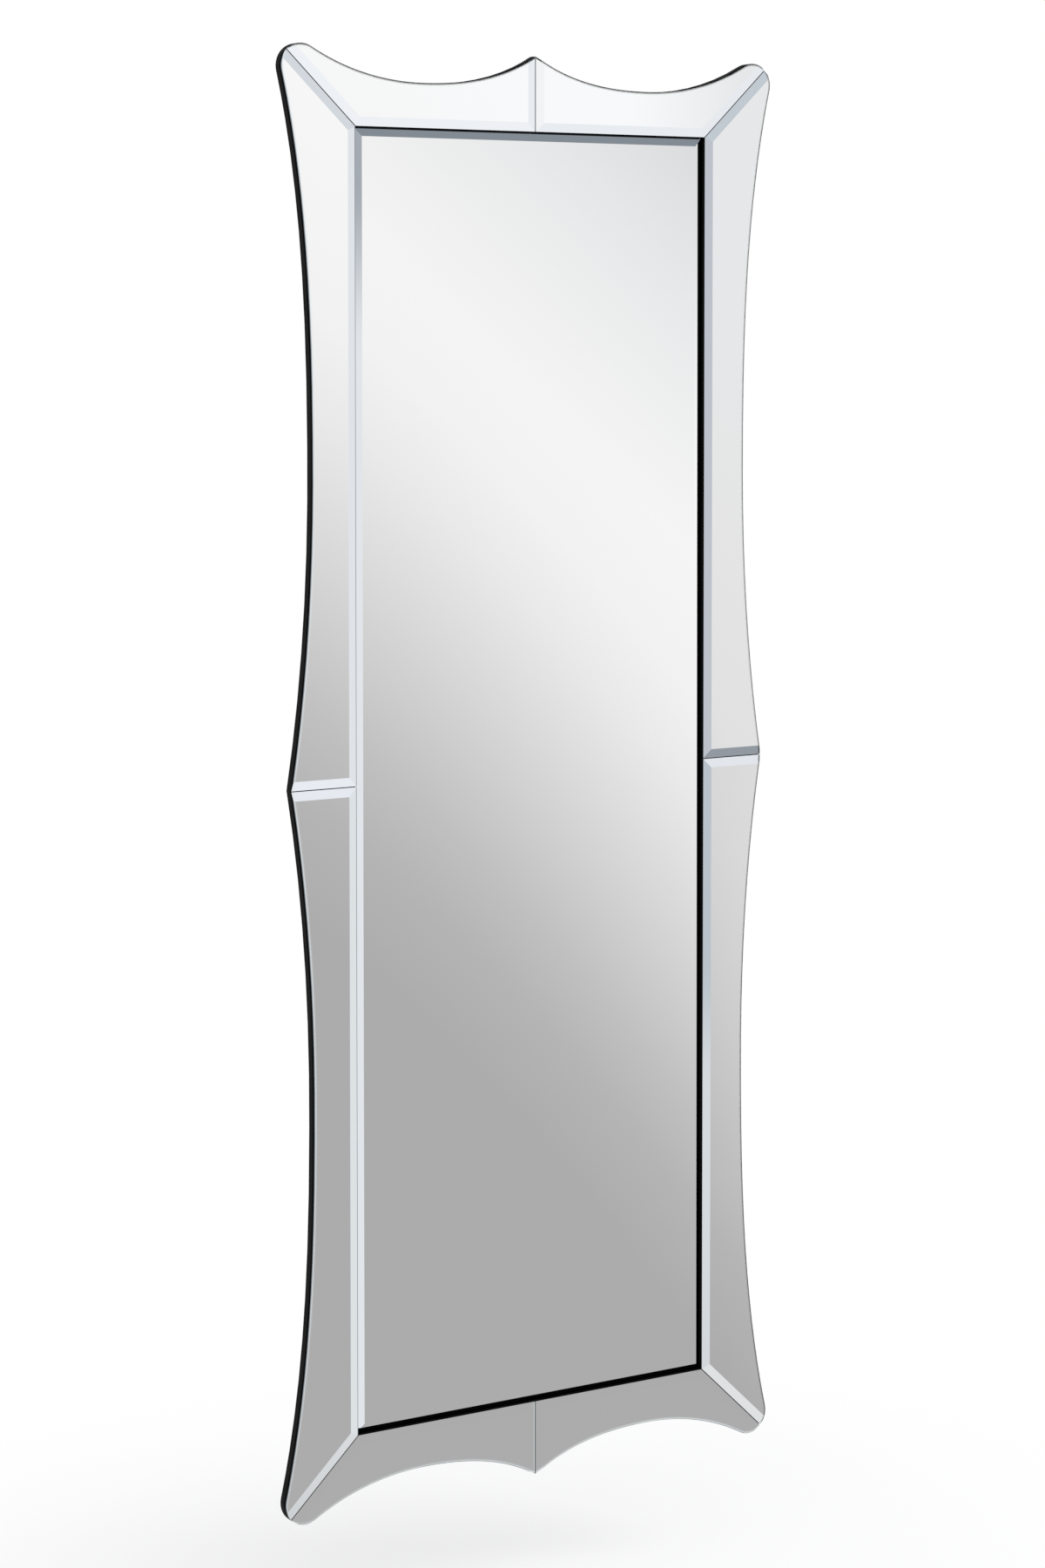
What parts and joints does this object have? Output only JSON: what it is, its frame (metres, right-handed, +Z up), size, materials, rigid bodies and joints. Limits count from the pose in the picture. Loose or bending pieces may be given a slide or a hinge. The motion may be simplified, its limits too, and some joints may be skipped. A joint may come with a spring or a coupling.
{
  "type": "scalloped full-length wall mirror",
  "caption": "Tall wall mirror: a recessed bevelled plate inside a scalloped frame of bevelled mirror panels on a black board, hung by hinged D-rings.",
  "frame": {"origin": "on the wall plane, on the centre line, midway between the pivots of the two hanging rings", "axes": "+Z up; +Y into the wall, so the glass faces -Y; +X to the viewer's right"},
  "size_m": [0.6074, 0.0184, 1.5246],
  "materials": {
    "silvered_glass": "polished silvered glass with bevelled edges",
    "black_board": "fibreboard, painted satin black",
    "adhesive": "black mirror adhesive",
    "zinc_steel": "bright zinc plate",
    "rubber": "matt black rubber"
  },
  "bodies": {
    "mirror": {"center_mirror": "silvered_glass", "back_board": "black_board", "center_adhesive": "adhesive", "panel_adhesive": "adhesive", "staples": "zinc_steel", "hanger_screws": "zinc_steel", "hanger_strap_left": "zinc_steel", "hanger_strap_right": "zinc_steel", "frame_stile_left": "black_board", "frame_stile_right": "black_board", "frame_rail_top": "black_board", "frame_rail_bottom": "black_board", "panel_top_left": "silvered_glass", "panel_top_right": "silvered_glass", "panel_left_upper": "silvered_glass", "panel_left_lower": "silvered_glass", "panel_right_upper": "silvered_glass", "panel_right_lower": "silvered_glass", "panel_bottom_left": "silvered_glass", "panel_bottom_right": "silvered_glass", "bumper_top_left": "rubber", "bumper_top_right": "rubber", "bumper_bottom_left": "rubber", "bumper_bottom_right": "rubber"},
    "ring_left": {"hanger_ring_left": "zinc_steel"},
    "ring_right": {"hanger_ring_right": "zinc_steel"}
  },
  "joints": [
    {"name": "ring_left_hinge", "type": "hinge", "parent": "mirror", "child": "ring_left", "pos_m": [-0.24325, -0.00347, 0], "axis": [1, 0, 0], "range_deg": [0, 180]},
    {"name": "ring_right_hinge", "type": "hinge", "parent": "mirror", "child": "ring_right", "pos_m": [0.24325, -0.00347, 0], "axis": [1, 0, 0], "range_deg": [0, 180]}
  ]
}
